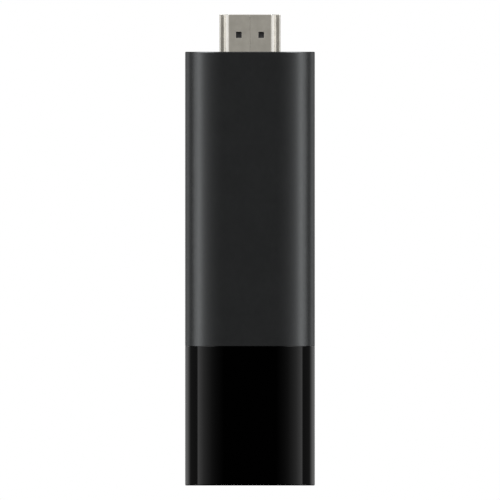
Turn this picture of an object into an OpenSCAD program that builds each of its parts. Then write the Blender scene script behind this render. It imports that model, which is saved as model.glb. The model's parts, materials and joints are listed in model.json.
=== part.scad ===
// Streaming media stick: a flat-ended housing with a video plug at its nose and a gloss cap at its tail.
// Millimetres. +Z runs out of the nose along the plug, -Y is the front face, +X is the side with the port.
// The origin is on the plug's axis, at the housing's nose face.

/* [Housing] */
// Width of the housing
body_w = 29.4; // [28.8:0.1:30.4]
// Thickness of the housing
body_t = 15.4; // [15:0.1:16.4]
// Length of the housing, without the plug
body_l = 98.35; // [98:0.05:102]
// Length of the gloss end cap
cap_l = 31.6; // [31:0.1:33]
// Width of the flat middle of the front and of the back
face_flat_w = 11.8; // [10:0.1:13]
// Height of the flat middle of each side
side_flat_w = 1.8; // [1.7:0.1:2.2]
// Rounding of the nose edge and of the tail edge
edge_r = 0.3; // [0.1:0.05:0.5]
// Wall of the two shells
wall = 1.4; // [1.3:0.05:1.5]
// Wall of the end cap
cap_wall = 1.0; // [0.9:0.05:1.0]

/* [Video plug] */
// Width of the plug on its wide face
plug_w = 13.9; // [13.8:0.05:14]
// Thickness of the plug
plug_t = 4.45; // [4.4:0.05:4.5]
// How far the plug stands out of the nose
plug_out = 8.45; // [8:0.05:11]
// Sheet that the plug's shell is folded from
plug_sheet = 0.3; // [0.25:0.05:0.35]

/* [Side controls] */
// Middle of the power port, from the tail
port_from_tail = 14.45; // [14:0.05:15]
// Middle of the status lamp, from the tail
lamp_from_tail = 20.3; // [20.1:0.1:20.6]
// Middle of the reset key, from the tail
key_from_tail = 25.2; // [25:0.1:25.6]
// Travel of the reset key
key_travel = 0.25; // [0.15:0.05:0.3]

/* [Board] */
// Width of the circuit board
board_w = 23.8; // [23:0.1:24]
// Thickness of the circuit board
board_t = 1.0; // [0.8:0.1:1]
// Screw length under the head
screw_l = 4.5; // [3.5:0.1:4.8]

/* [Hidden] */
$fn = 64;

tiny = 0.01;
seam = 0.1;                      // reveal between the two shells, and between them and the cap
slide_gap = 0.1;                 // between the spigot and the cap that slides over it

// Outline of the housing: a flat, a wide arc, a tighter arc and a short flat, in each quarter.
turn = asin(0.6);                // angle that the wide arc turns through, on a 3-4-5 triangle
flat_x = face_flat_w / 2;
flat_y = side_flat_w / 2;
span_x = body_w / 2 - flat_x;
span_y = body_t / 2 - flat_y;
face_r = 2 * span_x - span_y;
side_r = 1.5 * span_y - 0.5 * span_x;
face_centre = [flat_x, body_t / 2 - face_r];
side_centre = [body_w / 2 - side_r, flat_y];

// Levels along Z
tail_z = -body_l;
joint_z = cap_l - body_l;        // where the matte shells end and the cap starts
nose_wall = 1.6;
tail_wall = 1.5;
flange_l = 2;                    // thick ring at the root of the spigot
spigot_z = tail_z + 5.4;         // free end of the spigot
spigot_inset = cap_wall + slide_gap;
spigot_wall = 1.2;
cavity_inset = spigot_inset + spigot_wall;
spigot_slot_half = 2.4;          // slot in the spigot that leaves room for the port, the lamp and the key
port_z = tail_z + port_from_tail;
lamp_z = tail_z + lamp_from_tail;
key_z = tail_z + key_from_tail;
side_x = body_w / 2;             // outer face of the side
cap_inner_x = side_x - cap_wall;
spigot_slot_top = key_z + 4;

// Lip that centres the shells on each other, with snap beads
lip_inset = 0.8;
lip_h = 1;
lip_gap = 0.05;
bead_r = 0.25;
bead_l = 6;
bead_zs = [-15, -35, -55];
bead_room = 0.4;                 // extra length of a bead's groove
snap_r = 0.35;
snap_l = 8;
snap_z = tail_z + 9;
snap_gap = 0.1;

// Circuit board and its screws
board_x = board_w / 2;
board_face = board_t / 2;
board_top = -4.2;
board_end = tail_z + 6.4;
boss_r = 2;
screw_r = 0.8;
head_r = 1.5;
head_h = 0.9;
shell_screws = [[8, -10], [-8, -10], [8, -61], [-8, -61]];
spigot_screws = [[-7.5, -84]];
screw_places = concat(shell_screws, spigot_screws);
post_root = body_t / 2 - 1.2;    // the posts end inside the rear wall
spigot_post_root = body_t / 2 - 2.1;
rib_x = [10.8, 13.5];            // ribs that carry the board's long edges
rib_y = 3.5;
rib_zs = [-25, -45];
rib_t = 1;
stop_zs = [-20, -51];            // ribs in the front shell that press on the graphite sheet
stop_half = 8;
pilot_gap = 0.2;                 // room past a screw's end and round its shank

// Stack on the front of the board: chips, shield, pads and heat spreader, each from its own face
shield_h = 2.0;
shield_sheet = 0.2;
shield_size = [21.6, 36];
shield_z = -38;
processor_size = [14, 1.2, 14];
processor_z = -30;
memory_size = [8, 1.0, 12];
memory_z = -47;
lid_face = board_face + shield_h + shield_sheet;
lid_pad_h = 1.0;
spreader_h = 1.2;
spreader_size = [20.8, 47];
spreader_z = -35.5;
spreader_face = lid_face + lid_pad_h;
graphite_h = 0.1;
stack_face = spreader_face + spreader_h + graphite_h;

// Stack on the rear of the board
can_h = 2.5;
can_size = [20, 32];
can_z = -39;
storage_size = [11.5, 1.0, 13];
storage_at = [-3.4, -34];
rear_pad_h = 1.0;
rear_plate_h = 1.0;
rear_plate_size = [20.4, 43];
rear_plate_z = -35.5;
module_size = [12, 1.8, 12];
module_at = [-3, -75.5];

// Contacts of the video plug
contact_w = 0.45;
contact_t = 0.15;
contact_pitch = 1.0;
slot_h = board_t;                // the gap that the socket's tongue enters
slot_w = 11.5;
insulator_z = [-4, plug_out - 0.5];
slot_root_z = 0.9;
shell_root_z = -4.1;
root_z = -7;                     // ends of the contacts and of the shell's tabs, on the board
tab_y = 1.6;
fold_gap = 0.04;                 // where the shell's sheet meets itself, on the front
contact_recess = 0.6;
window_w = 1.3;
window_h = 1.4;
window_x = 2.54;
window_z = 3.8;

// Power port: outline across its mouth as [z, y], the wide face towards the rear
port_half_w = 3.45;
port_half_h = 0.925;
port_slant = 0.95;
port_sheet = 0.25;
port_x = [8.6, 13.5];
mouth_gap = 0.15;
tongue_w = 3.7;
tongue_h = 0.6;

// Reset key and its switch
key_l = 4.6;
key_h = 1.5;
key_gap = 0.12;
key_recess = 0.1;
flange_t = 0.5;
plunger_x = [11.9, 12.7];        // what stands out of the switch
plunger_root_x = plunger_x[0] - 0.5;
switch_x = [8.6, 11.9];
switch_half = [0.9, 2.3];        // in Y and Z
well_half = [0.65, 0.85];        // of the switch's well, in Y and Z
plunger_half = [0.55, 0.75];
pipe_r = 0.6;
pipe_gap = 0.03;
lamp_x = [10.9, 12.1];
lamp_half = [0.6, 0.8];          // in Y and Z
notch_gap = 0.15;                // room around a part that is set into the board's edge

// ---- Helpers ----

// Points of an arc of radius r around c, from angle a0 to a1
function arc(c, r, a0, a1, n = 5) = [for (i = [0:n])
    let (a = a0 + (a1 - a0) * i / n)
    c + r * [cos(a), sin(a)]];

// Unit normal to the right of the way from a to b
function right_of(a, b) = let (d = (b - a) / norm(b - a)) [d.y, -d.x];

// A closed outline that runs anticlockwise, moved inwards by t
function moved_in(p, t) = [for (i = [0:len(p) - 1])
    let (a = p[(i + len(p) - 1) % len(p)], b = p[i], c = p[(i + 1) % len(p)],
         m = right_of(a, b), n = right_of(b, c))
    b - t * (m + n) / (1 + m * n)];

// An outline with the corner at each point rounded to its own radius
function rounded(p, r) = [for (i = [0:len(p) - 1])
    let (a = p[(i + len(p) - 1) % len(p)], b = p[i], c = p[(i + 1) % len(p)],
         u = (a - b) / norm(a - b), v = (c - b) / norm(c - b),
         half = acos(u * v) / 2,
         centre = b + (u + v) / norm(u + v) * r[i] / sin(half),
         left = cross(b - a, c - b) > 0,
         start = b + u * r[i] / tan(half) - centre,
         a0 = atan2(start.y, start.x),
         sweep = (180 - 2 * half) * (left ? 1 : -1))
    each arc(centre, r[i], a0, a0 + sweep)];

// The plug's outline: a narrow face at the front, slanted flanks, a ledge and a wide rear face
plug_corners = [[-4.92, -plug_t / 2], [4.92, -plug_t / 2], [5.9, -0.3], [plug_w / 2, -0.3],
                [plug_w / 2, plug_t / 2], [-plug_w / 2, plug_t / 2], [-plug_w / 2, -0.3], [-5.9, -0.3]];
plug_radii = [0.4, 0.4, 0.12, 0.42, 0.5, 0.5, 0.42, 0.12];
plug_turns = [-1, -1, 1, -1, -1, -1, -1, 1];    // a corner that points in gets rounder as the outline shrinks

module plug_outline(t = 0) {
    polygon(rounded(moved_in(plug_corners, t), plug_radii + t * plug_turns));
}

// The power port's outline, grown by t
port_corners = [[-port_half_w, port_half_h - port_slant], [-port_half_w + port_slant, -port_half_h],
                [port_half_w - port_slant, -port_half_h], [port_half_w, port_half_h - port_slant],
                [port_half_w, port_half_h], [-port_half_w, port_half_h]];

module port_outline(t = 0) {
    polygon(rounded(moved_in(port_corners, -t), [for (p = port_corners) 0.25 + max(t, 0)]));
}

// Half of a slab's section, from its middle out to r, rounded at its two outer corners
module side_profile(r, z0, z1, r0, r1) {
    translate([0, z0]) {
        square([r - max(r0, r1), z1 - z0]);
        translate([0, r0]) square([r, z1 - z0 - r0 - r1]);
        if (r0 > 0) translate([r - r0, r0]) circle(r0);
        if (r1 > 0) translate([r - r1, z1 - z0 - r1]) circle(r1);
    }
}

module both_ways() {
    for (m = [0, 1]) mirror([m, 0]) children();
}

// The housing's outer form moved in by inset, between two levels, with its end edges rounded to r0 and r1
module housing(inset, z0, z1, r0 = 0, r1 = 0) {
    rotate([90, 0, 90]) linear_extrude(2 * flat_x, center = true)
        both_ways() side_profile(body_t / 2 - inset, z0, z1, r0, r1);
    rotate([90, 0, 0]) linear_extrude(2 * flat_y, center = true)
        both_ways() side_profile(body_w / 2 - inset, z0, z1, r0, r1);
    for (mx = [0, 1], my = [0, 1]) mirror([mx, 0, 0]) mirror([0, my, 0]) {
        translate(face_centre) rotate(90 - turn)
            rotate_extrude(angle = turn) side_profile(face_r - inset, z0, z1, r0, r1);
        translate(side_centre)
            rotate_extrude(angle = 90 - turn) side_profile(side_r - inset, z0, z1, r0, r1);
    }
}

// A box between two corners
module between(a, b) {
    translate(a) cube(b - a);
}

// A box on the board: size is [x, height, z], on the front (-1) or on the rear (1)
module on_board(at, size, side, lift = 0) {
    y0 = side > 0 ? board_face + lift : -board_face - lift - size.y;
    translate([at.x - size.x / 2, y0, at.y - size.z / 2]) cube(size);
}

// A cylinder along +X, and one along +Y
module along_x(r, x0, x1, z, y = 0) {
    translate([x0, y, z]) rotate([0, 90, 0]) cylinder(r = r, h = x1 - x0);
}

module along_y(r, y0, y1, x, z) {
    translate([x, y0, z]) rotate([-90, 0, 0]) cylinder(r = r, h = y1 - y0);
}

// An obround bar along X, l long in Z and h high in Y
module obround_x(l, h, x0, x1, z) {
    for (s = [-1, 1]) along_x(h / 2, x0, x1, z + s * (l - h) / 2);
    between([x0, -h / 2, z - (l - h) / 2], [x1, h / 2, z + (l - h) / 2]);
}

// ---- Casing ----

// Beads across the spigot that click into grooves in the cap, grown by g to cut the grooves
module snaps(g = 0) {
    for (s = [-1, 1]) translate([0, s * (body_t / 2 - spigot_inset), snap_z])
        rotate([0, 90, 0]) cylinder(r = snap_r + g, h = snap_l + 4 * g, center = true);
}

// Both shells as one tube, before they are parted
module tube() {
    difference() {
        union() {
            housing(0, joint_z, 0, 0, edge_r);
            housing(spigot_inset, spigot_z, joint_z + tiny);
            snaps();
        }
        housing(wall, joint_z + flange_l, -nose_wall);
        housing(cavity_inset, spigot_z - 1, joint_z + flange_l + 1);
        translate([0, 0, -nose_wall - 1]) linear_extrude(nose_wall + 2) plug_outline(-0.15);
        between([0, -spigot_slot_half, spigot_z - 1], [side_x, spigot_slot_half, spigot_slot_top]);
    }
}

module front_shell() {
    color([0.13, 0.137, 0.133]) difference() {
        union() {
            tube();
            for (z = stop_zs) intersection() {
                between([-stop_half, -body_t, z - rib_t / 2], [stop_half, -stack_face, z + rib_t / 2]);
                housing(wall / 2, joint_z + 1, -1);
            }
        }
        between([-body_w, -seam / 2, tail_z - 1], [body_w, body_t, 1]);
        intersection() {
            between([-body_w, -lip_h - lip_gap, joint_z + flange_l], [body_w, body_t, -nose_wall]);
            housing(lip_inset - lip_gap, joint_z + flange_l, -nose_wall);
        }
        for (s = [-1, 1], z = bead_zs)
            translate([s * (side_x - lip_inset), -lip_h / 2 - seam / 2, z])
                cylinder(r = bead_r + lip_gap, h = bead_l + bead_room, center = true);
    }
}

module rear_shell() {
    color([0.13, 0.137, 0.133]) difference() {
        union() {
            difference() {
                tube();
                between([-body_w, -body_t, tail_z - 1], [body_w, seam / 2, 1]);
            }
            lip();
            for (p = shell_screws) along_y(boss_r, board_face, post_root, p.x, p.y);
            for (p = spigot_screws) along_y(boss_r, board_face, spigot_post_root, p.x, p.y);
            for (m = [0, 1], z = rib_zs) mirror([m, 0, 0])
                between([rib_x[0], board_face, z - rib_t / 2], [rib_x[1], rib_y, z + rib_t / 2]);
        }
        for (p = screw_places) along_y(screw_r, 0, board_face + screw_l + pilot_gap, p.x, p.y);
    }
}

// Lip of the rear shell, which stands into the front shell
module lip() {
    lip_z0 = joint_z + flange_l + lip_gap;
    lip_z1 = -nose_wall - lip_gap;
    difference() {
        intersection() {
            housing(lip_inset, lip_z0, lip_z1);
            between([-body_w, -lip_h, lip_z0], [body_w, 1, lip_z1]);
        }
        housing(wall, lip_z0 - 1, lip_z1 + 1);
    }
    for (s = [-1, 1], z = bead_zs)
        translate([s * (side_x - lip_inset), -lip_h / 2 - seam / 2, z])
            cylinder(r = bead_r, h = bead_l, center = true);
}

// Gloss cup over the tail, with the openings for the port, the lamp and the key
module end_cap() {
    color([0.02, 0.02, 0.02]) difference() {
        difference() {
            housing(0, tail_z, joint_z - seam, edge_r, 0);
            housing(cap_wall, tail_z + tail_wall, joint_z);
            snaps(snap_gap);
        }
        translate([cap_inner_x - 1, 0, port_z]) port_prism(mouth_gap, 3);
        obround_x(key_l + 2 * key_gap, key_h + 2 * key_gap, cap_inner_x - 1, side_x + 1, key_z);
        along_x(pipe_r + pipe_gap, cap_inner_x - 1, side_x + 1, lamp_z);
    }
}

// The power port's outline drawn along +X from x = 0
module port_prism(t, l) {
    rotate([90, 0, 90]) linear_extrude(l) mirror([1, -1]) port_outline(t);
}

module nose_gasket() {
    depth = 0.9;
    margin = 2;
    color([0.18, 0.18, 0.19]) translate([0, 0, -nose_wall - depth]) linear_extrude(depth) difference() {
        square([plug_w + 2 * margin, plug_t + 2 * margin], center = true);
        plug_outline(-tiny);
    }
}

// ---- Video plug ----

module plug_shell() {
    color([0.72, 0.7, 0.66]) difference() {
        union() {
            translate([0, 0, shell_root_z]) linear_extrude(plug_out - shell_root_z) difference() {
                plug_outline();
                plug_outline(plug_sheet);
            }
            for (m = [0, 1]) mirror([m, 0, 0])
                between([plug_w / 2 - plug_sheet, board_face, root_z], [plug_w / 2, tab_y, shell_root_z + 0.5]);
        }
        for (s = [-1, 1]) translate([s * window_x, 0, window_z])
            cube([window_w, plug_t + 1, window_h], center = true);
        translate([0, -plug_t / 2, 0]) cube([fold_gap, 1, 3 * plug_out], center = true);
    }
}

module plug_insulator() {
    color([0.05, 0.05, 0.05]) difference() {
        translate([0, 0, insulator_z[0]]) linear_extrude(insulator_z[1] - insulator_z[0])
            plug_outline(plug_sheet + tiny);
        translate([-slot_w / 2, -slot_h / 2, slot_root_z]) cube([slot_w, slot_h, plug_out]);
        contact_row(1, 10, tiny);
        contact_row(-1, 9, tiny);
    }
}

// Contacts of one row, side 1 above the tongue and -1 below it, grown by g to cut their channels
module contact_row(side, count, g = 0) {
    for (i = [0:count - 1])
        translate([(i - (count - 1) / 2) * contact_pitch, side * (board_face + contact_t / 2), 0])
            translate([-contact_w / 2 - g, -contact_t / 2 - g, root_z])
                cube([contact_w + 2 * g, contact_t + 2 * g, insulator_z[1] - contact_recess - root_z + g]);
}

module plug_upper_contacts() {
    color([0.85, 0.68, 0.32]) contact_row(1, 10);
}

module plug_lower_contacts() {
    color([0.85, 0.68, 0.32]) contact_row(-1, 9);
}

// ---- Board and the parts on it ----

module main_board() {
    color([0.05, 0.16, 0.12]) difference() {
        between([-board_x, -board_face, board_end], [board_x, board_face, board_top]);
        for (p = screw_places) along_y(screw_r + pilot_gap, -board_t, board_t, p.x, p.y);
        edge_notch(port_x[0], port_z, port_half_w + port_sheet);
        edge_notch(switch_x[0], key_z, switch_half.y);
        edge_notch(lamp_x[0], lamp_z, lamp_half.y);
        for (s = [-1, 1]) between([s * 11.9 - 1, -board_t, -3.5], [s * 11.9 + 1, board_t, board_top - 2]);
    }
}

// Room in the board's edge for a part set into it, from x outwards
module edge_notch(x, z, half) {
    between([x - notch_gap, -board_t, z - half - notch_gap], [board_w, board_t, z + half + notch_gap]);
}

module board_screws() {
    color([0.6, 0.6, 0.6]) for (p = screw_places) difference() {
        union() {
            along_y(screw_r - 0.02, -board_face - head_h, -board_face + screw_l, p.x, p.y);
            along_y(head_r, -board_face - head_h, -board_face, p.x, p.y);
        }
        translate([p.x, -board_face - head_h, p.y]) {
            cube([1.8, 0.9, 0.4], center = true);
            cube([0.4, 0.9, 1.8], center = true);
        }
    }
}

module processor() {
    color([0.1, 0.1, 0.1]) on_board([0, processor_z], processor_size, -1);
}

module memory_chips() {
    color([0.12, 0.12, 0.12]) for (s = [-1, 1]) on_board([s * 5.2, memory_z], memory_size, -1);
}

module storage_chip() {
    color([0.12, 0.12, 0.12]) on_board(storage_at, storage_size, 1);
}

module wireless_module() {
    color([0.1, 0.2, 0.12]) {
        on_board(module_at, [module_size.x + 1, 0.6, module_size.z + 1], 1);
        on_board(module_at + [2, 1], [5, 0.7, 5], 1, 0.6);
    }
}

module wireless_lid() {
    color([0.75, 0.75, 0.74]) difference() {
        on_board(module_at, module_size, 1, 0.6);
        on_board(module_at, module_size - [0.4, 0.2, 0.4], 1, 0.6 - tiny);
    }
}

module regulator_chips() {
    color([0.12, 0.12, 0.12]) for (z = [-30, -38, -49]) on_board([6, z], [4, 0.8, 4], 1);
}

module power_inductors() {
    color([0.3, 0.3, 0.31]) for (x = [-5.5, 0], z = [-46, -51.5]) on_board([x, z], [4, 2, 4], 1);
}

module crystals() {
    color([0.78, 0.76, 0.7]) {
        on_board([-2, -60.5], [2.5, 0.7, 3.2], -1);
        on_board([6, -68], [2.5, 0.7, 3.2], 1);
    }
}

// A row of small capacitors
module capacitor_row(x, z0, count, side) {
    for (i = [0:count - 1]) on_board([x, z0 - 1.6 * i], [0.6, 0.5, 1], side);
}

module front_capacitors() {
    color([0.62, 0.5, 0.36]) {
        for (s = [-1, 1]) capacitor_row(s * 8.6, -24, 8, -1);
        capacitor_row(4.6, -66, 6, -1);
    }
}

module rear_capacitors() {
    color([0.62, 0.5, 0.36]) {
        capacitor_row(9.2, -28, 10, 1);
        capacitor_row(-10.9, -68, 8, 1);
    }
}

// ---- Shields, pads and heat spreaders ----

// Four thin walls on the board around a rectangle
module fence(size, z, h, side, sheet) {
    difference() {
        on_board([0, z], [size.x, h, size.y], side);
        on_board([0, z], [size.x - 2 * sheet, h + 1, size.y - 2 * sheet], side, -0.5);
    }
}

module shield_frame() {
    color([0.7, 0.7, 0.7]) {
        fence(shield_size, shield_z, shield_h, -1, shield_sheet);
        between([-shield_size.x / 2 + tiny, -board_face - shield_h, shield_z - 2.5],
                [shield_size.x / 2 - tiny, -board_face - shield_h + shield_sheet, shield_z - 1.5]);
    }
}

module shield_lid() {
    skirt = 1.2;
    outer = shield_size + [2, 2] * (shield_sheet + tiny);
    inner = outer - [2, 2] * shield_sheet;
    vent_r = 0.5;
    vent_x = 9.6;
    vent_pitch = 7;
    color([0.76, 0.76, 0.76]) difference() {
        on_board([0, shield_z], [outer.x, skirt + shield_sheet, outer.y], -1, shield_h - skirt);
        on_board([0, shield_z], [inner.x, skirt, inner.y], -1, shield_h - skirt);
        for (s = [-1, 1], i = [-2:2]) along_y(vent_r, -lid_face - 1, 0, s * vent_x, shield_z + vent_pitch * i);
    }
}

module rear_shield_can() {
    color([0.76, 0.76, 0.76]) difference() {
        on_board([0, can_z], [can_size.x, can_h, can_size.y], 1);
        on_board([0, can_z], [can_size.x - 0.4, can_h - shield_sheet + tiny, can_size.y - 0.4], 1, -tiny);
    }
}

module processor_pad() {
    color([0.55, 0.62, 0.72])
        on_board([0, processor_z], [13, shield_h - processor_size.y, 13], -1, processor_size.y);
}

module lid_pad() {
    color([0.55, 0.62, 0.72]) on_board([0, shield_z], [18, lid_pad_h, 30], -1, lid_face - board_face);
}

module storage_pad() {
    color([0.55, 0.62, 0.72])
        on_board(storage_at, [10, can_h - shield_sheet - storage_size.y, 11], 1, storage_size.y);
}

module rear_pad() {
    color([0.55, 0.62, 0.72]) on_board([0, can_z], [17, rear_pad_h, 28], 1, can_h);
}

module front_heat_spreader() {
    color([0.8, 0.8, 0.81])
        on_board([0, spreader_z], [spreader_size.x, spreader_h, spreader_size.y], -1,
                 spreader_face - board_face);
}

module graphite_sheet() {
    color([0.22, 0.22, 0.24])
        on_board([0, spreader_z], [19, graphite_h, 45], -1, spreader_face + spreader_h - board_face);
}

module rear_heat_spreader() {
    color([0.8, 0.8, 0.81])
        on_board([0, rear_plate_z], [rear_plate_size.x, rear_plate_h, rear_plate_size.y], 1,
                 can_h + rear_pad_h);
}

// ---- Antennas ----

// A bent strip that stands on the tail end of the board, folded from 0.3 mm sheet
module antenna(side) {
    sheet = 0.3;
    z1 = board_end + 5;
    mirror([side > 0 ? 0 : 1, 0, 0]) color([0.78, 0.66, 0.4]) {
        between([1.5, board_face, z1 - 1], [2.7, board_face + sheet, z1]);
        between([1.5, board_face, board_end + 1], [2.7, board_face + 2.6, board_end + 1 + sheet]);
        between([1.5, board_face, board_end + 1], [2.7, board_face + sheet, z1 - 0.5]);
        between([1.5, board_face + 2.3, board_end + 1], [8, board_face + 2.6, board_end + 4]);
        between([5.2, board_face, board_end + 1], [6, board_face + 2.6, board_end + 1 + sheet]);
    }
}

module left_antenna() {
    antenna(-1);
}

module right_antenna() {
    antenna(1);
}

// ---- Power port ----

module power_port_shell() {
    color([0.75, 0.74, 0.72]) translate([port_x[0], 0, port_z]) difference() {
        port_prism(port_sheet, port_x[1] - port_x[0]);
        translate([port_sheet, 0, 0]) port_prism(0, port_x[1]);
    }
}

module power_port_tongue() {
    back = 1.2;
    color([0.05, 0.05, 0.05]) translate([port_x[0] + port_sheet, 0, port_z]) difference() {
        union() {
            port_prism(-tiny, back);
            between([0, -0.1, -tongue_w / 2], [3.9, tongue_h - 0.1, tongue_w / 2]);
        }
        translate([-port_x[0] - port_sheet, 0, -port_z]) port_contact_row(tiny);
    }
}

// Five contacts let into the front face of the tongue
module port_contact_row(g = 0) {
    w = 0.35;
    x0 = port_x[0] + port_sheet + 0.3;
    for (i = [-2:2]) between([x0 - g, -0.1 - g, port_z + i * 0.65 - w / 2 - g],
                             [x0 + 3.3 + g, 0.05 + g, port_z + i * 0.65 + w / 2 + g]);
}

module power_port_contacts() {
    color([0.85, 0.68, 0.32]) port_contact_row();
}

// ---- Lamp and reset key ----

module status_lamp() {
    color([0.92, 0.9, 0.8])
        between([lamp_x[0], -lamp_half.x, lamp_z - lamp_half.y],
                [lamp_x[1], lamp_half.x, lamp_z + lamp_half.y]);
}

module light_pipe() {
    color([0.85, 0.86, 0.88]) {
        along_x(pipe_r, 12.2, side_x - 0.05, lamp_z);
        along_x(pipe_r + 0.5, 12.7, cap_inner_x - 0.05, lamp_z);
    }
}

module reset_key() {
    color([0.05, 0.05, 0.05]) {
        obround_x(key_l, key_h, cap_inner_x - 0.2, side_x - key_recess, key_z);
        obround_x(key_l + 1, key_h + 0.8, cap_inner_x - key_gap - flange_t, cap_inner_x - key_gap, key_z);
        along_x(0.7, plunger_x[1] + 0.05, cap_inner_x - key_gap, key_z);
    }
}

module reset_switch() {
    well_x = plunger_root_x - key_travel - 0.1;
    color([0.15, 0.15, 0.16]) difference() {
        between([switch_x[0], -switch_half.x, key_z - switch_half.y],
                [switch_x[1], switch_half.x, key_z + switch_half.y]);
        between([well_x, -well_half.x, key_z - well_half.y],
                [switch_x[1] + 1, well_half.x, key_z + well_half.y]);
    }
}

module reset_plunger() {
    color([0.82, 0.8, 0.74])
        between([plunger_root_x, -plunger_half.x, key_z - plunger_half.y],
                [plunger_x[1], plunger_half.x, key_z + plunger_half.y]);
}

front_shell();
rear_shell();
end_cap();
nose_gasket();
plug_shell();
plug_insulator();
plug_upper_contacts();
plug_lower_contacts();
main_board();
board_screws();
processor();
memory_chips();
storage_chip();
wireless_module();
wireless_lid();
regulator_chips();
power_inductors();
crystals();
front_capacitors();
rear_capacitors();
shield_frame();
shield_lid();
rear_shield_can();
processor_pad();
lid_pad();
storage_pad();
rear_pad();
front_heat_spreader();
rear_heat_spreader();
graphite_sheet();
left_antenna();
right_antenna();
power_port_shell();
power_port_tongue();
power_port_contacts();
status_lamp();
light_pipe();
reset_key();
reset_switch();
reset_plunger();
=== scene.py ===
"""Looks for the streaming media stick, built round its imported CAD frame.

Shapes are worked out in millimetres and written in metres. Each visible casing piece is a closed
skin: a profile swept round an outline of true arcs, with a small rounding on every edge and with
exact normals. The other CAD nodes show their own meshes, with softened edges.
"""

import json
import math

import bpy
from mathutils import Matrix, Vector
from mathutils.geometry import delaunay_2d_cdt


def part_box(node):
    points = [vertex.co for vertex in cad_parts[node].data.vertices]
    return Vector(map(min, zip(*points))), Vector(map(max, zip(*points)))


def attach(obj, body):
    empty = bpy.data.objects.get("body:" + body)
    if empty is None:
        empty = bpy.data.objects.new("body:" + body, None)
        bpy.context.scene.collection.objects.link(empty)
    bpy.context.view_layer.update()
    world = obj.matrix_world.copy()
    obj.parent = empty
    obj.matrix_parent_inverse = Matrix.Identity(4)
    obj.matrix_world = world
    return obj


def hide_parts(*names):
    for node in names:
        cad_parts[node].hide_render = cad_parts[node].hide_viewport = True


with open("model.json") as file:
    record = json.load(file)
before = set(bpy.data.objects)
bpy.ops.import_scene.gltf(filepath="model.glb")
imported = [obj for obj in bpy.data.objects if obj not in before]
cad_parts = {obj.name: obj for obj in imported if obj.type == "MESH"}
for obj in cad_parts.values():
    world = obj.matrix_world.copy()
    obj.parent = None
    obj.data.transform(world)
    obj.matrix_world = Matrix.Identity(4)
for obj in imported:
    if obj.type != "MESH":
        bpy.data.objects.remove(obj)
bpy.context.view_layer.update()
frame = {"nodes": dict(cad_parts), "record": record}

MM = 0.001
UP = Vector((0, 0, 1))


def corners(node):
    """A CAD node's lowest and highest corner, in millimetres."""
    lo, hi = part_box(node)
    return lo / MM, hi / MM


# ---------------------------------------------------------------- sizes

cap_lo, cap_hi = corners("end_cap")
shell_lo, _ = corners("rear_shell")
_, plug_hi = corners("plug_shell")
key_lo, key_hi = corners("reset_key")
port_lo, port_hi = corners("power_port_shell")
pipe_lo, pipe_hi = corners("light_pipe")
core_lo, core_hi = corners("plug_insulator")

HALF_W = cap_hi.x
HALF_T = cap_hi.y
TAIL_Z = cap_lo.z
SEAM = 0.1  # the gap between the two shells, and in the CAD the one above the cap
JOINT_Z = cap_hi.z + SEAM
SPIGOT_Z = shell_lo.z
TIP_Z = plug_hi.z

FACE_FLAT = 5.9  # half of the flat on each broad face
SIDE_FLAT = 0.9  # half of the flat on each side
WALL = 1.4
CAP_WALL = 1.0
SPIGOT_OUT, SPIGOT_IN = 1.1, 2.3  # how deep its two faces lie below the housing's surface
SPIGOT_ROOT = 2.0  # how far it runs on above the joint, inside the shells
NOSE_WALL = 1.6
SLOT_HALF = 2.4  # the slot in the spigot, in which the key and the port lie
SLOT_TOP = 4.0 + (key_lo.z + key_hi.z) / 2

# The housing's section: each corner has a side arc, and then a face arc that ends on the broad face
ACROSS, DEEP = HALF_W - FACE_FLAT, HALF_T - SIDE_FLAT
FACE_R, SIDE_R = 2 * ACROSS - DEEP, 1.5 * DEEP - 0.5 * ACROSS
ARC_TURN = math.acos(0.6)  # where the side arc hands over to the face arc

# The plug's section: a front face, slanted flanks, and a ledge before the wider rear part
PLUG_FACE = 4.92
PLUG_LEDGE = 5.9
LEDGE_Y = 0.3
PLUG_ROOT = -4.1

ROUND_STEPS = 4  # steps in each rounded corner of a profile
CORNER = ROUND_STEPS + 1  # samples that such a corner has


# ---------------------------------------------------------------- outlines


class Outline:
    """A run of lines and arcs, anticlockwise.

    at(s) gives a point and its outward normal at length s.
    """

    def __init__(self, parts):
        self.parts = parts
        self.starts = []
        total = 0.0
        for part in parts:
            self.starts.append(total)
            total += self.length_of(part)
        self.length = total

    @staticmethod
    def length_of(part):
        if part[0] == "line":
            return math.dist(part[1], part[2])
        return part[2] * abs(part[4] - part[3])

    def at(self, s):
        s = s % self.length
        k = max(i for i, start in enumerate(self.starts) if start <= s + 1e-9)
        part, d = self.parts[k], s - self.starts[k]
        if part[0] == "line":
            (ax, ay), (bx, by) = part[1], part[2]
            n = self.length_of(part)
            ux, uy = (bx - ax) / n, (by - ay) / n
            return (ax + ux * d, ay + uy * d), (uy, -ux)
        _, (cx, cy), r, a0, a1 = part
        turn = 1 if a1 > a0 else -1
        a = a0 + turn * d / r
        c, n = math.cos(a), math.sin(a)
        return (cx + r * c, cy + r * n), (turn * c, turn * n)

    def stops(self, step_deg=4.0, longest=6.0):
        """Lengths at which to cut the outline, so that arcs stay round."""
        out = []
        for start, part in zip(self.starts, self.parts):
            if part[0] == "line":
                n = max(1, math.ceil(self.length_of(part) / longest))
            else:
                n = max(2, math.ceil(abs(part[4] - part[3]) / math.radians(step_deg)))
            out += [start + self.length_of(part) * i / n for i in range(n)]
        return out


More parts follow.
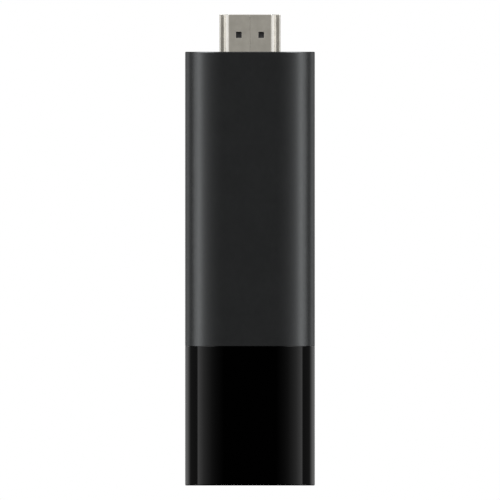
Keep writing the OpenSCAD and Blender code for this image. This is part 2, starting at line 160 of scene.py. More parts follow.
def rounded(points, radii):
    """The outline through these corners, each rounded to its radius."""
    legs, count = [], len(points)
    for i, b in enumerate(points):
        a, c = points[i - 1], points[(i + 1) % count]
        b, u, v = Vector(b), Vector(a) - Vector(b), Vector(c) - Vector(b)
        u.normalize()
        v.normalize()
        half = math.acos(max(-1, min(1, u.dot(v)))) / 2
        r = radii[i]
        centre = b + (u + v).normalized() * r / math.sin(half)
        start, end = b + u * r / math.tan(half), b + v * r / math.tan(half)
        left = (-u.x * v.y + u.y * v.x) > 0
        a0 = math.atan2(start.y - centre.y, start.x - centre.x)
        sweep = math.pi - 2 * half
        legs.append((start, end, ("arc", tuple(centre), r, a0, a0 + (sweep if left else -sweep))))
    parts = []
    for i, (start, end, arc) in enumerate(legs):
        parts.append(arc)
        nxt = legs[(i + 1) % count][0]
        if (nxt - end).length > 1e-6:
            parts.append(("line", tuple(end), tuple(nxt)))
    return Outline(parts)


def housing_outline():
    """Section of the housing, from the middle of its +X side."""
    w, t, fx, fy = HALF_W, HALF_T, FACE_FLAT, SIDE_FLAT
    side, face = (w - SIDE_R, fy), (fx, t - FACE_R)
    one = [("arc", side, SIDE_R, 0, ARC_TURN), ("arc", face, FACE_R, ARC_TURN, math.pi / 2)]
    parts = [("line", (w, 0), (w, fy))] + one + [("line", (fx, t), (-fx, t))]
    for sx, sy, corner in ((-1, 1, 1), (-1, -1, 2), (1, -1, 3)):
        if corner == 2:
            parts.append(("line", (-w, fy), (-w, -fy)))
        if corner == 3:
            parts.append(("line", (-fx, -t), (fx, -t)))
        arcs = []
        for _, (cx, cy), r, a0, a1 in one:
            if corner == 1:
                b0, b1 = math.pi - a1, math.pi - a0
            elif corner == 2:
                b0, b1 = math.pi + a0, math.pi + a1
            else:
                b0, b1 = 2 * math.pi - a1, 2 * math.pi - a0
            arcs.append(("arc", (sx * cx, sy * cy), r, b0, b1))
        parts += arcs if corner == 2 else arcs[::-1]
    parts.append(("line", (w, -fy), (w, 0)))
    return Outline(parts)


def plug_corners(grow):
    """Corners of the plug's profile, moved outwards by grow."""
    hw, ht, g = plug_hi.x, plug_hi.y, grow
    shift = g * math.tan(math.atan2(ht - LEDGE_Y, PLUG_LEDGE - PLUG_FACE) / 2)
    half = [(PLUG_FACE + shift, -ht - g), (PLUG_LEDGE + shift, -LEDGE_Y - g),
            (hw + g, -LEDGE_Y - g), (hw + g, ht + g)]
    left = [(-x, y) for x, y in half[::-1]]
    return half + left


def plug_outline(grow=0.0, notch=0.12):
    """The plug's profile: a narrow front face, slanted flanks, a ledge and a wide rear face."""
    radii = [0.4 + grow, notch, 0.42 + grow, 0.5 + grow]  # from the front face to the rear one
    return rounded(plug_corners(grow), radii + radii[::-1])


def box_outline(x0, x1, y0, y1, r):
    return rounded([(x0, y0), (x1, y0), (x1, y1), (x0, y1)], [r] * 4)


def circle_outline(y, r):
    return Outline([("arc", (0, y), r, 0, math.pi), ("arc", (0, y), r, math.pi, 2 * math.pi)])


# ---------------------------------------------------------------- skins


class Skin:
    """Vertices with their own normals, and faces."""

    def __init__(self):
        self.points, self.normals, self.faces = [], [], []

    def add(self, p, n):
        self.points.append(Vector(p) * MM)
        self.normals.append(Vector(n).normalized())
        return len(self.points) - 1

    def ring(self, pairs):
        return [self.add(p, n) for p, n in pairs]

    def bridge(self, a, b, closed=True, skip=()):
        count = len(a)
        for i in range(count if closed else count - 1):
            if i not in skip:
                k = (i + 1) % count
                self.faces.append((a[i], a[k], b[k], b[i]))

    def fill(self, ring, flip=False):
        self.faces.append(tuple(ring[::-1] if flip else ring))

    def weld(self):
        """Joins vertices that share a place and a normal, and drops any face that closes up."""
        seen, numbers, points, normals = {}, [], [], []
        for p, n in zip(self.points, self.normals):
            key = (*(round(c, 9) for c in p), *(round(c, 3) for c in n))
            if key not in seen:
                seen[key] = len(points)
                points.append(p)
                normals.append(n)
            numbers.append(seen[key])
        faces = []
        for face in self.faces:
            own = [numbers[i] for i in face]
            own = [v for k, v in enumerate(own) if v != own[k - 1]]
            if len(own) > 2:
                faces.append(tuple(own))
        self.points, self.normals, self.faces = points, normals, faces
        self.drop_slivers()

    def drop_slivers(self):
        """Takes out each flat triangle.

        Its middle corner goes to the face beyond its longest side.
        """
        at = self.points

        def is_flat(face):
            a, b, c = (at[i] for i in face)
            return (b - a).cross(c - a).length < 1e-13

        flat = [f for f in self.faces if len(f) == 3 and is_flat(f)]
        self.faces = [f for f in self.faces if f not in flat]
        for f in flat:
            turns = [(f[k - 2], f[k - 1], f[k]) for k in range(3)]
            a, b, c = max(turns, key=lambda turn: (at[turn[0]] - at[turn[2]]).length)
            for i, face in enumerate(self.faces):
                k = next((k for k in range(len(face)) if face[k - 1] == a and face[k] == c), None)
                if k is not None:
                    self.faces[i] = (*face[:k], b, *face[k:])

    def piece(self, name, material, body, *nodes):
        """Makes the object. nodes are the CAD nodes that it stands for, if any."""
        self.weld()
        mesh = bpy.data.meshes.new(name)
        mesh.from_pydata([tuple(p) for p in self.points], [], self.faces)
        mesh.polygons.foreach_set("use_smooth", [True] * len(mesh.polygons))
        mesh.normals_split_custom_set_from_vertices([tuple(n) for n in self.normals])
        mesh.materials.append(material)
        obj = bpy.data.objects.new(name, mesh)
        bpy.context.scene.collection.objects.link(obj)
        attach(obj, body)
        if nodes:
            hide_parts(*nodes)


SLOTS = {s["node"]: s["material_slot"] for s in frame["record"]["subparts"]}


def profile(points, closed=True):
    """Rounds a profile's corners.

    Each point is (base, rho, z, r): rho is measured outwards from outline base, and r is the
    corner's radius. Gives (base, rho, z, n_rho, n_z) all the way round, anticlockwise.
    """
    out, count = [], len(points)

    def heading(p, q):
        if p[0] != q[0]:
            return (-1.0, 0.0) if p[0] == 0 else (1.0, 0.0)
        d = Vector((q[1] - p[1], q[2] - p[2])).normalized()
        return d.x, d.y

    for i, p in enumerate(points):
        base, rho, z, r = p
        if not closed and i in (0, count - 1):
            u = heading(points[0], points[1]) if i == 0 else heading(points[-2], points[-1])
            out.append((base, rho, z, u[1], -u[0]))
            continue
        u, v = heading(points[i - 1], p), heading(p, points[(i + 1) % count])
        left = u[0] * v[1] - u[1] * v[0] > 0
        nu, nv = (u[1], -u[0]), (v[1], -v[0])
        cx, cz = rho - r * u[0] + r * v[0], z - r * u[1] + r * v[1]
        for k in range(CORNER):
            turn = math.pi / 2 * k / ROUND_STEPS
            c, s = math.cos(turn), math.sin(turn)
            n = (c * nu[0] + s * nv[0], c * nu[1] + s * nv[1])
            side = 1 if left else -1
            out.append((base, cx + side * r * n[0], cz + side * r * n[1], n[0], n[1]))
    return out


class Place:
    """A station on one outline or more.

    At the ends of an open run it leans over, to round the end's edges: shift pulls its points
    in along their normals, slide moves them outwards, and keep and lean turn the normals.
    """

    def __init__(self, bases, samples=None, shift=0.0, slide=Vector(), keep=1.0, lean=Vector()):
        self.bases, self.samples = bases, samples
        self.shift, self.slide, self.keep, self.lean = shift, slide, keep, lean

    def put(self, sample):
        base, rho, z, nr, nz = sample
        (x, y), (nx, ny) = self.bases[base]
        p, n = Vector((x + rho * nx, y + rho * ny, z)), Vector((nr * nx, nr * ny, nz))
        return p - n * self.shift + self.slide, n * self.keep + self.lean


def ends(place, out, r):
    """Places that round the end of an open run with radius r. out is where the end faces."""
    made, steps = [], 3
    for k in range(1, steps + 1):
        c, s = math.cos(math.pi / 2 * k / steps), math.sin(math.pi / 2 * k / steps)
        made.append(Place(place.bases, place.samples, r * (1 - c), out * (r * s), c, out * s))
    return made


def sweep(skin, places, samples, closed_path=True, closed_profile=True, skips=None):
    """Sweeps a profile along a path. Gives the rings of vertex numbers, one for each sample."""
    count = len(samples)
    rings = [skin.ring([pl.put((pl.samples or samples)[j]) for pl in places]) for j in range(count)]
    skips = skips or {}
    for j in range(count if closed_profile else count - 1):
        skin.bridge(rings[j], rings[(j + 1) % count], closed_path, skips.get(j, ()))
    if not closed_profile:
        skin.fill(rings[0], flip=True)
        skin.fill(rings[-1])
    if not closed_path:
        skin.fill([ring[0] for ring in rings])
        skin.fill([ring[-1] for ring in rings], flip=True)
    return rings


def solid(skin, outline, points):
    """A solid with both ends closed: an open profile swept right round one outline."""
    samples = profile([(0, *p) for p in points], closed=False)
    places = [Place([outline.at(s)]) for s in outline.stops(8.0)]
    sweep(skin, places, samples, closed_profile=False)


def matched(a, b, keys_a, keys_b):
    """Pairs of lengths on two outlines, cut wherever either one needs it."""
    least = 0.003  # the shortest cut, as a share of its run
    out = []
    for k in range(len(keys_a) - 1):
        a0, a1, b0, b1 = keys_a[k], keys_a[k + 1], keys_b[k], keys_b[k + 1]
        cuts = []
        for line, k0, k1 in ((a, a0, a1), (b, b0, b1)):
            for stop in line.stops():
                for turn in (0, line.length):
                    cuts.append((stop + turn - k0) / (k1 - k0))
        before = 0.0
        out.append((a0, b0))
        for t in sorted(cuts):
            if before + least < t < 1 - least:
                out.append((a0 + t * (a1 - a0), b0 + t * (b1 - b0)))
                before = t
    return out + [(keys_a[-1], keys_b[-1])]


def spots(outline, count):
    """This many lengths, spread evenly along an outline."""
    return [outline.length * i / count for i in range(count)]


def crossing(outline, y, right):
    """The length at which an outline passes height y on its right or its left."""
    side = 1 if right else -1
    near = [s for s in spots(outline, 20000) if outline.at(s)[0][0] * side > 0]
    return min(near, key=lambda s: abs(outline.at(s)[0][1] - y))


def middle(outline, front):
    """The length at which an outline passes x = 0, on its front or its rear."""
    return next(s for s in spots(outline, 40000)
                if abs(outline.at(s)[0][0]) < 0.001 and (outline.at(s)[0][1] < 0) == front)


def joined_solid(name, a, b, points, start_a, start_b, body, node, along_x=False):
    """A closed solid swept right round two outlines, from one end's middle to the other's.

    The outlines start at start_a and start_b. along_x lays the solid on its side.
    """
    skin = Skin()
    samples = profile(points, closed=False)
    pairs = matched(a, b, [start_a, start_a + a.length], [start_b, start_b + b.length])[:-1]
    sweep(skin, [Place([a.at(i), b.at(k)]) for i, k in pairs], samples, closed_profile=False)
    if along_x:
        skin.points = [Vector((p.z, p.x, p.y)) for p in skin.points]
        skin.normals = [Vector((n.z, n.x, n.y)) for n in skin.normals]
    skin.piece(name, MATERIALS[SLOTS[node]], body, node)


def clearance(poly, x, y):
    """How far a point is from the nearest side of a polygon."""
    best, p = math.inf, Vector((x, y))
    for i, b in enumerate(poly):
        a, b = Vector(poly[i - 1]), Vector(b)
        t = max(0.0, min(1.0, (p - a).dot(b - a) / (b - a).length_squared))
        best = min(best, (a + (b - a) * t - p).length)
    return best


def inside(poly, x, y):
    hit = False
    for i, (x1, y1) in enumerate(poly):
        x0, y0 = poly[i - 1]
        if (y0 > y) != (y1 > y) and x < (x1 - x0) * (y - y0) / (y1 - y0) + x0:
            hit = not hit
    return hit


class Window:
    """A strip of a thin wall, between two lengths of its outline, with round-lipped holes."""

    HOLE_STEPS = (12, 20)  # a hole's outline is cut every 12 degrees, and its sides not at all
    COLUMNS = 6  # of the grid of points between the strip's ends
    LIP_STEPS = 4

    def __init__(self, outline, s0, s1, holes, lip, thick):
        self.outline, self.s0, self.s1 = outline, s0, s1
        self.holes, self.lip, self.thick = holes, lip, thick

    def near(self, s):
        """The same place on the outline as s, as a length close to the window."""
        mid, whole = (self.s0 + self.s1) / 2, self.outline.length
        return s + whole * round((mid - s) / whole)

    def has(self, s):
        return self.s0 - 1e-5 <= self.near(s) <= self.s1 + 1e-5

    def on_wall(self, s, z, depth):
        (x, y), (nx, ny) = self.outline.at(s)
        return Vector((x - depth * nx, y - depth * ny, z)), Vector((nx, ny, 0))

    def hole_ring(self, skin, hole, grow, depth, tilt):
        """A ring round a hole.

        tilt runs from 0, facing out of the wall, to 90, facing across the hole, to 180.
        """
        out = []
        c, n = math.cos(math.radians(tilt)), math.sin(math.radians(tilt))
        for stop in hole.stops(*self.HOLE_STEPS):
            (s, z), (ms, mz) = hole.at(stop)
            p, normal = self.on_wall(s + grow * ms, z + grow * mz, depth)
            along = Vector((-normal.y, normal.x, 0))
            out.append((p, normal * c - (along * ms + UP * mz) * n))
        return skin.ring(out)

    def cut(self, skin, low, high, stops, depth, flip):
        """Fills the strip between rings low and high on one face of the wall.

        Gives each hole's ring.
        """
        edge = low + high[::-1]
        z0, z1 = skin.points[low[0]].z / MM, skin.points[high[0]].z / MM
        flat = [(s, z0) for s in stops] + [(s, z1) for s in stops[::-1]]
        rings, polys = [], []
        numbers, lines = list(edge), [(i, (i + 1) % len(edge)) for i in range(len(edge))]
        for hole in self.holes:
            ring = self.hole_ring(skin, hole, self.lip, depth, 180 if flip else 0)
            poly = []
            for stop in hole.stops(*self.HOLE_STEPS):
                (s, z), (ms, mz) = hole.at(stop)
                poly.append((s + self.lip * ms, z + self.lip * mz))
            first = len(numbers)
            numbers += ring
            flat += poly
            lines += [(first + i, first + (i + 1) % len(ring)) for i in range(len(ring))]
            rings.append(ring)
            polys.append(poly)
        step = (self.s1 - self.s0) / self.COLUMNS
        least = step * 0.4
        low_z, high_z = min(z0, z1), max(z0, z1)
        rows = int((high_z - low_z) / step)
        for r in range(1, rows):
            z = low_z + (high_z - low_z) * r / rows
            for k in range(1, self.COLUMNS):
                s = self.s0 + step * (k + (0.25 if r % 2 else -0.25))
                if all(clearance(poly, s, z) > least and not inside(poly, s, z) for poly in polys):
                    p, n = self.on_wall(s, z, depth)
                    flat.append((s, z))
                    numbers.append(skin.add(p, -n if flip else n))
        _, _, tris, source, _, _ = delaunay_2d_cdt([Vector(p) for p in flat], lines, [], 0, 1e-7)
        for tri in tris:
            own = [source[v][0] for v in tri]
            mid = [sum(flat[i][k] for i in own) / 3 for k in (0, 1)]
            if any(inside(poly, *mid) for poly in polys):
                continue
            a, b, c = (Vector(flat[i]) for i in own)
            turn = (b - a).x * (c - a).y - (b - a).y * (c - a).x
            if abs(turn) < 1e-9:
                continue
            own = own if (turn > 0) != flip else own[::-1]
            skin.faces.append(tuple(numbers[i] for i in own))
        return rings

    def join(self, skin, outer, inner):
        """Rounded lips and the hole's own wall, between its ring on each face."""
        steps = self.LIP_STEPS
        turns = [(90 * k / steps, False) for k in range(1, steps + 1)]
        turns += [(90 + 90 * k / steps, True) for k in range(steps)]
        for hole, before, last in zip(self.holes, outer, inner):
            for tilt, far in turns:
                c, n = math.cos(math.radians(tilt)), math.sin(math.radians(tilt))
                depth = self.thick - self.lip * (1 + c) if far else self.lip * (1 - c)
                ring = self.hole_ring(skin, hole, self.lip * (1 - n), depth, tilt)
                skin.bridge(before, ring)
                before = ring
            skin.bridge(before, last)


def walled(skin, outline, samples, windows, outer_edge, inner_edge, gap=None, edge_r=0.0):
    """A thin wall swept round an outline, with windows.

    The edges are the last samples before the long outer and inner face. gap, if given, is
    (from, to): the run is open there, as a folded sheet is at its seam.
    """
    by_window, by_gap = 0.05, 0.02  # stops that lie closer than this are dropped
    stops = set(round(s, 6) for s in outline.stops())
    for w in windows:
        for end in (w.s0 % outline.length, w.s1 % outline.length):
            stops = {s for s in stops if abs(s - end) > by_window} | {round(end, 6)}
    stops = sorted(stops)
    if gap:
        first, last = gap[1] + edge_r, outline.length + gap[0] - edge_r
        turned = [s if s >= first else s + outline.length for s in stops]
        stops = sorted(s for s in turned if first + by_gap < s < last - by_gap)
        stops = [first] + stops + [last]
    places = [Place([outline.at(s)]) for s in stops]
    lead = 0
    if gap:
        (_, (nx, ny)), (_, (mx, my)) = outline.at(stops[0]), outline.at(stops[-1])
        head = ends(places[0], Vector((ny, -nx, 0)), edge_r)
        tail = ends(places[-1], Vector((-my, mx, 0)), edge_r)
        places = head[::-1] + places + tail
        lead = len(head)
    gone = set()
    for w in windows:
        pairs = enumerate(zip(stops, stops[1:] + stops[:1]))
        gone |= {i + lead for i, (s, after) in pairs if w.has(s) and w.has(after)}
    skips = {outer_edge: gone, inner_edge: gone}
    rings = sweep(skin, places, samples, closed_path=not gap, skips=skips)
    count = len(rings)
    for w in windows:
        ids = [i for i, s in enumerate(stops) if w.has(s)]
        ids.sort(key=lambda i: w.near(stops[i]))
        cuts = [w.near(stops[i]) for i in ids]
        ids = [i + lead for i in ids]

        def along(j):
            return [rings[j % count][i] for i in ids]

        outer = w.cut(skin, along(outer_edge), along(outer_edge + 1), cuts, 0.0, False)
        inner = w.cut(skin, along(inner_edge + 1), along(inner_edge), cuts, w.thick, True)
        w.join(skin, outer, inner)


# ---------------------------------------------------------------- materials


class Shader:
    """A material's nodes, on object coordinates in metres."""

    def __init__(self, name, color, rough, metallic=0.0, **sockets):
        self.mat = bpy.data.materials.new(name)
        self.mat.use_nodes = True
        self.mat.diffuse_color = (*color, 1)
        self.tree = self.mat.node_tree
        self.bsdf = next(n for n in self.tree.nodes if n.type == "BSDF_PRINCIPLED")
        self.bsdf.inputs["Base Color"].default_value = (*color, 1)
        self.bsdf.inputs["Roughness"].default_value = rough
        self.bsdf.inputs["Metallic"].default_value = metallic
        for key, value in sockets.items():
            self.bsdf.inputs[key.replace("_", " ")].default_value = value
        self.coords = self.tree.nodes.new("ShaderNodeTexCoord").outputs["Object"]

    def link(self, a, b):
        self.tree.links.new(a, b)

    def node(self, kind, inputs=None, **props):
        made = self.tree.nodes.new(kind)
        for key, value in props.items():
            setattr(made, key, value)
        for key, value in (inputs or {}).items():
            if isinstance(value, bpy.types.NodeSocket):
                self.link(value, made.inputs[key])
            else:
                made.inputs[key].default_value = value
        return made

    def stretched(self, x, y, z):
        values = {0: self.coords, 1: (x, y, z)}
        return self.node("ShaderNodeVectorMath", values, operation="MULTIPLY").outputs[0]

    def noise(self, scale, detail, rough, vector=None):
        values = {"Scale": scale, "Detail": detail, "Roughness": rough}
        made = self.node("ShaderNodeTexNoise", values)
        self.link(vector or self.coords, made.inputs["Vector"])
        return made.outputs["Fac"]

    def total(self, a, b):
        return self.node("ShaderNodeMath", {0: a, 1: b}, operation="ADD").outputs[0]

    def spread(self, fac, lo, hi, out_lo, out_hi):
        """fac from lo to hi becomes out_lo to out_hi, held at both ends."""
        values = {"Value": fac, "From Min": lo, "From Max": hi, "To Min": out_lo, "To Max": out_hi}
        return self.node("ShaderNodeMapRange", values, clamp=True).outputs[0]

    def blend(self, fac, a, b):
        made = self.node("ShaderNodeMix", data_type="RGBA")
        for key, value in ((0, fac), (6, a), (7, b)):
            if isinstance(value, bpy.types.NodeSocket):
                self.link(value, made.inputs[key])
            else:
                made.inputs[key].default_value = value if key == 0 else (*value, 1)
        return made.outputs[2]

    def color(self, socket):
        self.link(socket, self.bsdf.inputs["Base Color"])

    def rough(self, socket):
        self.link(socket, self.bsdf.inputs["Roughness"])

    def bump(self, *layers):
        """Layers of (height, depth in metres), from the broadest to the finest."""
        normal = None
        for height, depth in layers:
            values = {"Height": height, "Distance": depth, "Strength": 1.0}
            made = self.node("ShaderNodeBump", values)
            if normal:
                self.link(normal, made.inputs["Normal"])
            normal = made.outputs[0]
        self.link(normal, self.bsdf.inputs["Normal"])


def matte_housing():
    """Moulded plastic with a fine spark-eroded skin and a dry, slightly metallic sheen."""
    m = Shader("matte_charcoal", (0.120, 0.124, 0.126), 0.25, 0.86,
               Specular_Tint=(0.5, 0.5, 0.5, 1))
    grain = m.noise(9000, 3.0, 0.6)
    broad = m.noise(160, 3.0, 0.55)
    worn = m.noise(900, 2.0, 0.5)
    dark, light = (0.106, 0.110, 0.111), (0.134, 0.138, 0.141)
    m.color(m.blend(m.spread(grain, 0.3, 0.7, 0, 1), dark, light))
    m.rough(m.spread(m.total(broad, worn), 0.8, 1.2, 0.23, 0.27))
    m.bump((grain, 0.000001))
    return m.mat


def gloss_cap():
    """Highly polished black plastic, with a trace of flow and of handling."""
    m = Shader("gloss_black", (0.0004, 0.0004, 0.0004), 0.04, Specular_IOR_Level=0.33)
    smear = m.noise(110, 4.0, 0.6, m.stretched(1, 1, 0.45))
    fleck = m.noise(5200, 1.0, 0.4)
    flow = m.noise(45, 1.0, 0.4, m.stretched(1, 1, 0.6))
    m.rough(m.spread(smear, 0.35, 0.75, 0.035, 0.075))
    black, speck = (0.0003, 0.0003, 0.0003), (0.002, 0.002, 0.002)
    m.color(m.blend(m.spread(fleck, 0.72, 0.8, 0, 1), black, speck))
    m.bump((flow, 0.000002))
    return m.mat


def plated(name, color, rough, grain_depth, drawn=(1, 1, 0.04), metallic=1.0, **sockets):
    """Thin bright plating on drawn sheet: faint lines along the draw and soft cloudy patches."""
    m = Shader(name, color, rough, metallic, **sockets)
    lines = m.noise(2600, 3.0, 0.6, m.stretched(*drawn))
    cloud = m.noise(420, 3.0, 0.55)
    dark = tuple(c * 0.86 for c in color)
    m.color(m.blend(m.spread(cloud, 0.35, 0.7, 0, 1), color, dark))
    m.rough(m.spread(m.total(lines, cloud), 0.75, 1.25, rough * 0.8, rough * 1.2))
    m.bump((lines, grain_depth))
    return m.mat


def moulded(name, color, rough, scale=2200, depth=0.000004):
    """Small moulded or pressed parts: a fine grain, slightly cloudy colour."""
    m = Shader(name, color, rough)
    grain = m.noise(scale, 3.0, 0.6)
    cloud = m.noise(scale * 0.15, 2.0, 0.5)
    lighter = tuple(min(1, c * 1.3) for c in color)
    m.color(m.blend(m.spread(cloud, 0.3, 0.7, 0, 1), color, lighter))
    m.rough(m.spread(grain, 0.3, 0.7, rough * 0.88, min(1, rough * 1.12)))
    m.bump((grain, depth))
    return m.mat


def board():
    """Solder mask over a woven laminate, with copper areas showing through as a lighter green."""
    m = Shader("board_green", (0.012, 0.075, 0.045), 0.35)
    weave = m.node("ShaderNodeTexVoronoi", {"Scale": 420.0}, distance="CHEBYCHEV")
    m.link(m.coords, weave.inputs["Vector"])
    areas = m.spread(weave.outputs["Distance"], 0.42, 0.5, 0, 1)
    m.color(m.blend(areas, (0.018, 0.105, 0.062), (0.009, 0.055, 0.034)))
    fibre = m.noise(3000, 2.0, 0.5, m.stretched(1, 1, 0.3))
    m.rough(m.spread(fibre, 0.3, 0.7, 0.28, 0.42))
    m.bump((areas, 0.00001), (fibre, 0.000003))
    return m.mat


def clear(name, tint, rough):
    """Clear moulded plastic with a slight haze."""
    m = Shader(name, tint, rough, IOR=1.49, Transmission_Weight=0.9)
    haze = m.noise(3000, 2.0, 0.5)
    m.rough(m.spread(haze, 0.3, 0.7, rough * 0.7, rough * 1.4))
    m.bump((haze, 0.000001))
    return m.mat


MATERIALS = {
    "matte_charcoal": matte_housing(),
    "gloss_black": gloss_cap(),
    "plug_plating": plated("plug_plating", (0.95, 0.90, 0.79), 0.1, 0.0000003, metallic=0.36,
                           Coat_Weight=1.0, Coat_IOR=4.0, Coat_Roughness=0.04),
    "port_steel": plated("port_steel", (0.62, 0.61, 0.59), 0.3, 0.000001, (0.04, 1, 1)),
    "shield_tin": plated("shield_tin", (0.6, 0.6, 0.59), 0.4, 0.000002),
    "spreader_aluminium": plated("spreader_aluminium", (0.72, 0.72, 0.74), 0.42, 0.000003),
    "screw_steel": plated("screw_steel", (0.5, 0.5, 0.5), 0.3, 0.000001, (1, 0.1, 1)),
    "antenna_copper": plated("antenna_copper", (0.72, 0.5, 0.3), 0.35, 0.000001),
    "contact_gold": plated("contact_gold", (0.9, 0.66, 0.28), 0.22, 0.0000008),
    "gasket_foam": moulded("gasket_foam", (0.035, 0.035, 0.038), 0.9, 1500, 0.00003),
    "insulator_black": moulded("insulator_black", (0.03, 0.03, 0.031), 0.42),
    "chip_black": moulded("chip_black", (0.02, 0.02, 0.021), 0.55, 3500, 0.000005),
    "inductor_grey": moulded("inductor_grey", (0.11, 0.11, 0.115), 0.7, 2500, 0.00001),
    "capacitor_ceramic": moulded("capacitor_ceramic", (0.42, 0.28, 0.16), 0.5, 2500),
    "thermal_pad": moulded("thermal_pad", (0.3, 0.38, 0.48), 0.75, 1200, 0.00001),
    "graphite_grey": moulded("graphite_grey", (0.06, 0.06, 0.065), 0.4, 1800, 0.000006),
    "key_black": moulded("key_black", (0.010, 0.010, 0.0105), 0.3, 2600, 0.000001),
    "switch_black": moulded("switch_black", (0.03, 0.03, 0.032), 0.6),
    "plunger_ivory": moulded("plunger_ivory", (0.6, 0.55, 0.44), 0.5),
    "lamp_resin": moulded("lamp_resin", (0.75, 0.72, 0.62), 0.3),
    "light_pipe_clear": clear("light_pipe_clear", (0.86, 0.88, 0.9), 0.12),
    "board_green": board(),
}

EDGES = {  # how far the edges of each inner part are broken, in millimetres
    "gasket_foam": 0.15, "insulator_black": 0.04, "chip_black": 0.05, "inductor_grey": 0.2,
    "capacitor_ceramic": 0.05, "shield_tin": 0.05, "spreader_aluminium": 0.06, "thermal_pad": 0.1,
    "graphite_grey": 0.02, "antenna_copper": 0.01, "contact_gold": 0.02, "screw_steel": 0.04,
    "switch_black": 0.08, "plunger_ivory": 0.1, "lamp_resin": 0.08, "board_green": 0.03,
}

for node, obj in frame["nodes"].items():
    slot = SLOTS[node]
    obj.data.materials.clear()
    obj.data.materials.append(MATERIALS[slot])
    if slot in EDGES:
        weld = obj.modifiers.new("weld", "WELD")
        weld.merge_threshold = 0.001 * MM
        bevel = obj.modifiers.new("broken_edges", "BEVEL")
        bevel.width = EDGES[slot] * MM
        bevel.segments = 2
        bevel.limit_method = "ANGLE"
        bevel.angle_limit = math.radians(40)


# ---------------------------------------------------------------- casing

HOUSING = housing_outline()
OPENING = plug_outline(0.15, 0.3)
LIP = 0.045  # rounding of the shells' edges along the seam


def shell_profile(spigot_end):
    """A shell's wall, on the housing's outline (0) and on the plug opening's (1)."""
    root = JOINT_Z + SPIGOT_ROOT
    return profile([
        (0, 0, JOINT_Z, 0.07), (0, 0, 0, 0.2), (1, 0, 0, 0.1), (1, 0, -NOSE_WALL, 0.1),
        (0, -WALL, -NOSE_WALL, 0.3), (0, -WALL, root, 0.3), (0, -SPIGOT_IN, root, 0.3),
        (0, -SPIGOT_IN, spigot_end, 0.15), (0, -SPIGOT_OUT, spigot_end, 0.3),
        (0, -SPIGOT_OUT, JOINT_Z, 0.1),
    ])


def half_shell(name, front):
    """One of the two matte shells.

    It has an outer skin, the nose wall, its half of the plug's opening, and its half of the
    spigot, which the slot cuts short on the +X side.
    """
    skin, edge = Skin(), SEAM / 2 + LIP
    whole, tall = shell_profile(SPIGOT_Z), shell_profile(SLOT_TOP)
    y = -edge if front else edge
    slot_s = SIDE_FLAT + SIDE_R * math.asin((SLOT_HALF - SIDE_FLAT) / SIDE_R)
    slot_share = 0.07  # of the opening's run, beside the slot
    right, left = crossing(OPENING, y, True), crossing(OPENING, y, False)
    if front:
        outer = [HOUSING.length / 2 + edge, HOUSING.length - slot_s, HOUSING.length - edge]
        right += OPENING.length if right < left else 0
        inner = [left, left + (right - left) * (1 - slot_share), right]
    else:
        outer = [edge, slot_s, HOUSING.length / 2 - edge]
        left += OPENING.length if left < right else 0
        inner = [right, right + (left - right) * slot_share, left]
    places = []
    for a, b in matched(HOUSING, OPENING, outer, inner):
        bases = [HOUSING.at(a), OPENING.at(b)]
        in_slot = a > outer[1] + 1e-6 if front else a < outer[1] - 1e-6
        if abs(a - outer[1]) < 1e-6:
            pair = [Place(bases, whole), Place(bases, tall)]
            places += pair if front else pair[::-1]
        else:
            places.append(Place(bases, tall if in_slot else whole))
    down = Vector((0, 1 if front else -1, 0))
    places = ends(places[0], down, LIP)[::-1] + places + ends(places[-1], down, LIP)
    sweep(skin, places, whole, closed_path=False)
    node = "front_shell" if front else "rear_shell"
    skin.piece(name, MATERIALS["matte_charcoal"], "housing", node)


half_shell("front_casing", True)
half_shell("rear_casing", False)

# Strips behind the seam, which keep light out of it
STRIP_HALF, STRIP_THICK, STRIP_GAP = 1, 0.5, 0.05
strips = Skin()
for side in (-1, 1):
    near = HALF_W - WALL - STRIP_GAP
    x0, x1 = sorted((side * (near - STRIP_THICK), side * near))
    low, high = JOINT_Z + SPIGOT_ROOT + 0.2, -NOSE_WALL - 0.1
    solid(strips, box_outline(x0, x1, -STRIP_HALF, STRIP_HALF, 0.12),
          [(-0.1, low, 0), (0, low, 0.08), (0, high, 0.08), (-0.1, high, 0)])
strips.piece("seam_strips", MATERIALS["matte_charcoal"], "housing")


# ---------------------------------------------------------------- gloss cap

port_z, pipe_z, key_z = (
    (lo.z + hi.z) / 2 for lo, hi in ((port_lo, port_hi), (pipe_lo, pipe_hi), (key_lo, key_hi)))
PORT_GAP = 0.15
PIPE_R, PIPE_GAP = 0.6, 0.03
KEY_L, KEY_H, KEY_GAP = 4.6, 1.5, 0.12


def port_outline(grow):
    """The power port's outline as (y, z), with its wide face towards the rear."""
    half_w, half_h, slant = 3.45, 0.925, 0.95
    g, t = grow, grow * math.tan(math.radians(22.5))  # the slants are at 45 degrees
    bottom, top = port_z - half_w, port_z + half_w
    points = [
        (half_h + g, bottom - g), (half_h + g, top + g), (slant - half_h - t, top + g),
        (-half_h - g, top - slant + t), (-half_h - g, bottom + slant - t),
        (slant - half_h - t, bottom - g),
    ]
    return rounded(points, [0.25 + g] * 6)


def obround(length, height, z):
    """An obround long in its second direction, started at the middle of its right side."""
    r = height / 2
    z0, z1 = z - length / 2 + r, z + length / 2 - r
    return Outline([
        ("line", (r, z), (r, z1)), ("arc", (0, z1), r, 0, math.pi), ("line", (-r, z1), (-r, z0)),
        ("arc", (0, z0), r, math.pi, 2 * math.pi), ("line", (r, z0), (r, z)),
    ])


